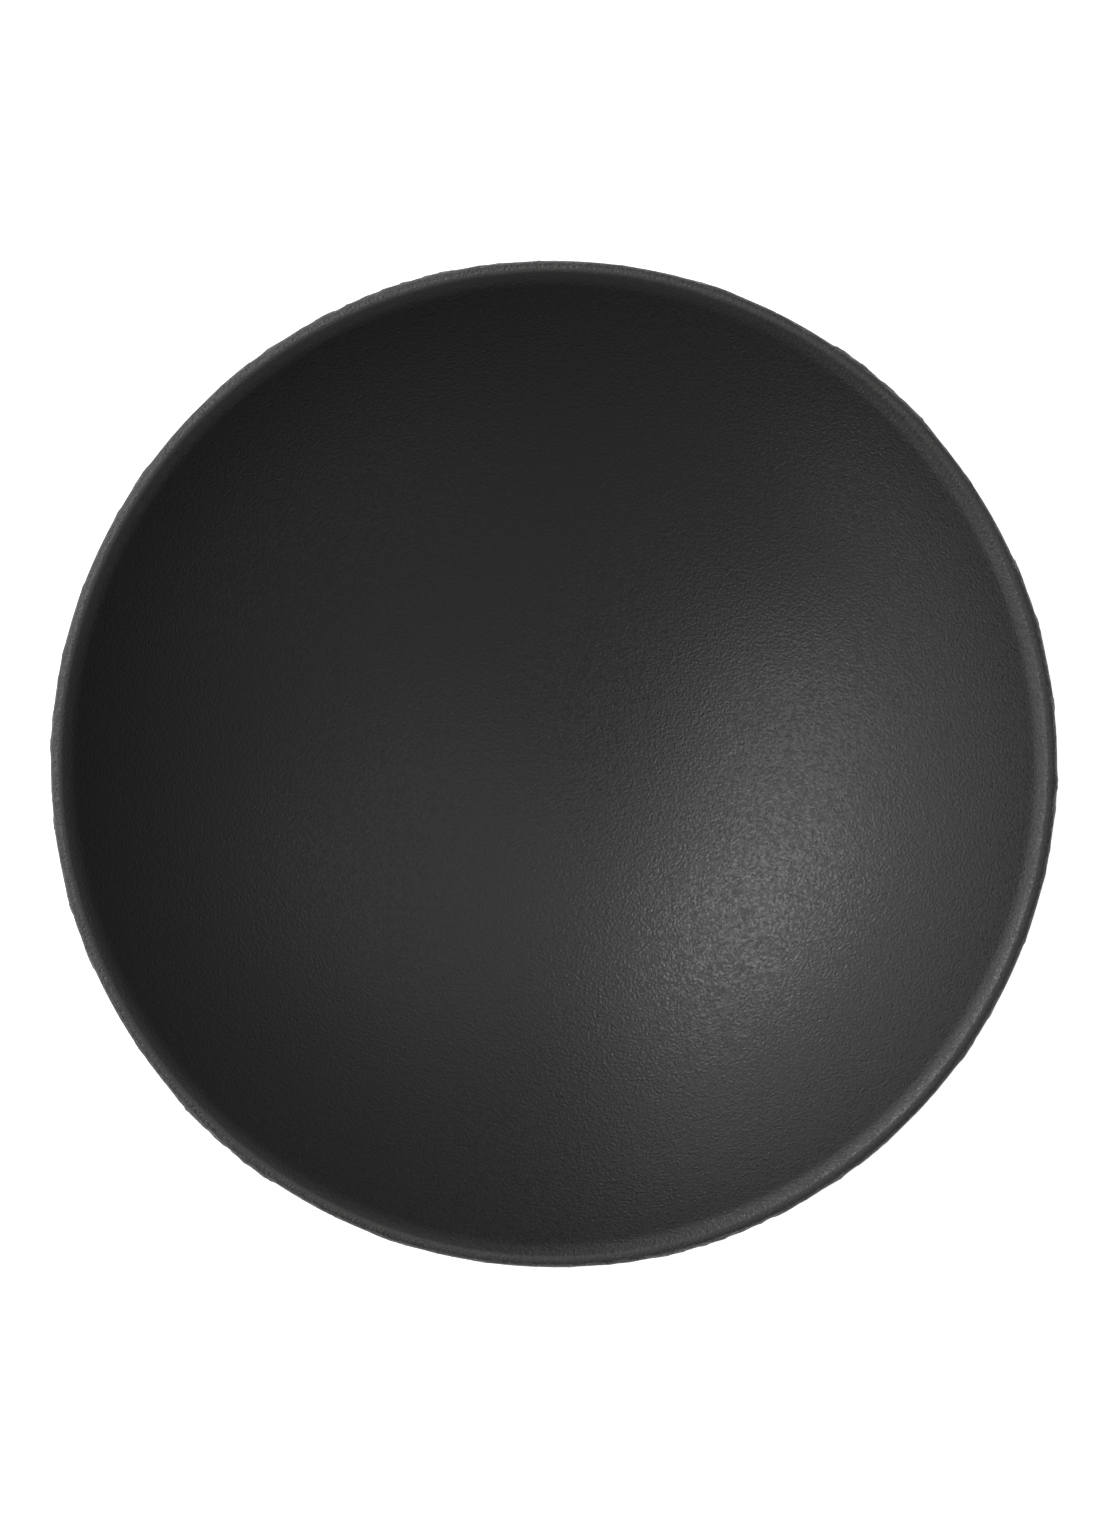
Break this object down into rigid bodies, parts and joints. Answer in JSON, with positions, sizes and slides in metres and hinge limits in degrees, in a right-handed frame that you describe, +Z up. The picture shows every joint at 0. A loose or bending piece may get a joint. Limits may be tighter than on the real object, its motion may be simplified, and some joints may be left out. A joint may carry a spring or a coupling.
{
  "type": "serving bowl",
  "caption": "Round matt black serving bowl: a smooth curved dish with a rounded lip, a rough slate-like outer wall and a low foot ring left bare where it is ground.",
  "frame": {"origin": "on the table under the centre of the bowl, in the plane of the ground foot", "axes": "+Z up along the bowl's axis, out of its mouth; +X and +Y square to it"},
  "size_m": [0.28, 0.28, 0.08],
  "materials": {
    "porcelain": "matte",
    "smooth_glaze": "satin",
    "rough_glaze": "matte"
  },
  "bodies": {
    "root": {"porcelain_body": "porcelain", "foot_ring": "porcelain", "inner_glaze": "smooth_glaze", "outer_glaze": "rough_glaze", "well_glaze": "smooth_glaze"}
  },
  "joints": []
}
